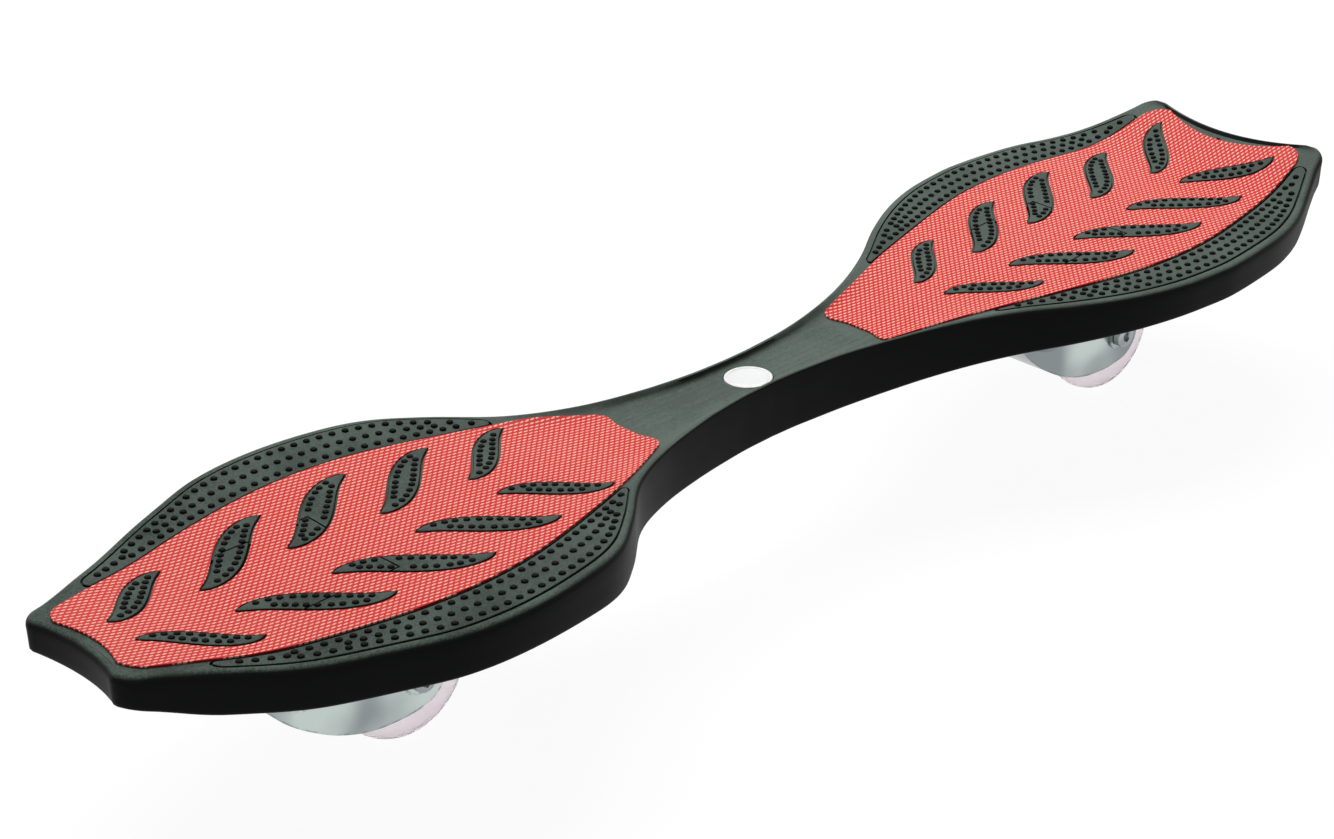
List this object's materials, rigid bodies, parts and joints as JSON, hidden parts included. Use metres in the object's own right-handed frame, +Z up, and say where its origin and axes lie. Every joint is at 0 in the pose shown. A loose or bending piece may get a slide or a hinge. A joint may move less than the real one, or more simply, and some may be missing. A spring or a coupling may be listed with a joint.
{
  "type": "caster board",
  "caption": "Two-wheeled caster board: a one-piece flexing deck with two foot platforms, grip sheets and tread pads on inclined swivel casters.",
  "frame": {"origin": "on the ground under the middle of the deck", "axes": "+X along the deck towards the tail, +Y across it, +Z up"},
  "size_m": [0.8457, 0.2212, 0.1315],
  "materials": {
    "deck": "fine moulded grain, dark grey-green",
    "sheet": "woven-look grip film, coral red",
    "pad": "matt rubber with raised dots, dark grey",
    "badge": "white, smooth",
    "chrome": "bright plated metal, lightly satin",
    "zinc": "zinc-plated steel",
    "bearing": "ground bearing steel",
    "seal": "matt black",
    "core": "white moulded nylon",
    "tyre": "pale translucent polyurethane"
  },
  "bodies": {
    "deck": {"deck": "deck", "centre_badge": "badge", "nose_grip_sheet": "sheet", "nose_bay_cover": "deck", "nose_tread_pad_left": "pad", "nose_tread_pad_right": "pad", "nose_kingpin": "zinc", "nose_kingpin_nut": "zinc", "nose_pivot_sleeve": "zinc", "nose_upper_race": "zinc", "tail_grip_sheet": "sheet", "tail_bay_cover": "deck", "tail_tread_pad_left": "pad", "tail_tread_pad_right": "pad", "tail_kingpin": "zinc", "tail_kingpin_nut": "zinc", "tail_pivot_sleeve": "zinc", "tail_upper_race": "zinc"},
    "nose_fork": {"nose_fork": "chrome", "nose_dust_seal": "seal", "nose_ball_cage": "bearing", "nose_swivel_bearing": "bearing", "nose_axle_bolt": "zinc", "nose_axle_nut": "zinc", "nose_axle_washer_left": "zinc", "nose_axle_washer_right": "zinc", "nose_bearing_spacer": "zinc"},
    "nose_wheel": {"nose_bearing_left": "bearing", "nose_bearing_right": "bearing", "nose_wheel_core": "core", "nose_tyre": "tyre"},
    "tail_fork": {"tail_fork": "chrome", "tail_dust_seal": "seal", "tail_ball_cage": "bearing", "tail_swivel_bearing": "bearing", "tail_axle_bolt": "zinc", "tail_axle_nut": "zinc", "tail_axle_washer_left": "zinc", "tail_axle_washer_right": "zinc", "tail_bearing_spacer": "zinc"},
    "tail_wheel": {"tail_bearing_left": "bearing", "tail_bearing_right": "bearing", "tail_wheel_core": "core", "tail_tyre": "tyre"}
  },
  "joints": [
    {"name": "nose_swivel", "type": "hinge", "parent": "deck", "child": "nose_fork", "pos_m": [-0.31279, 0, 0.07912], "axis": [-0.5, 0, 0.866], "continuous": true},
    {"name": "nose_wheel_spin", "type": "hinge", "parent": "nose_fork", "child": "nose_wheel", "pos_m": [-0.24402, 0, 0.038], "axis": [0, 1, 0], "continuous": true},
    {"name": "tail_swivel", "type": "hinge", "parent": "deck", "child": "tail_fork", "pos_m": [0.22472, 0, 0.07912], "axis": [-0.5, 0, 0.866], "continuous": true},
    {"name": "tail_wheel_spin", "type": "hinge", "parent": "tail_fork", "child": "tail_wheel", "pos_m": [0.29349, 0, 0.038], "axis": [0, 1, 0], "continuous": true}
  ]
}
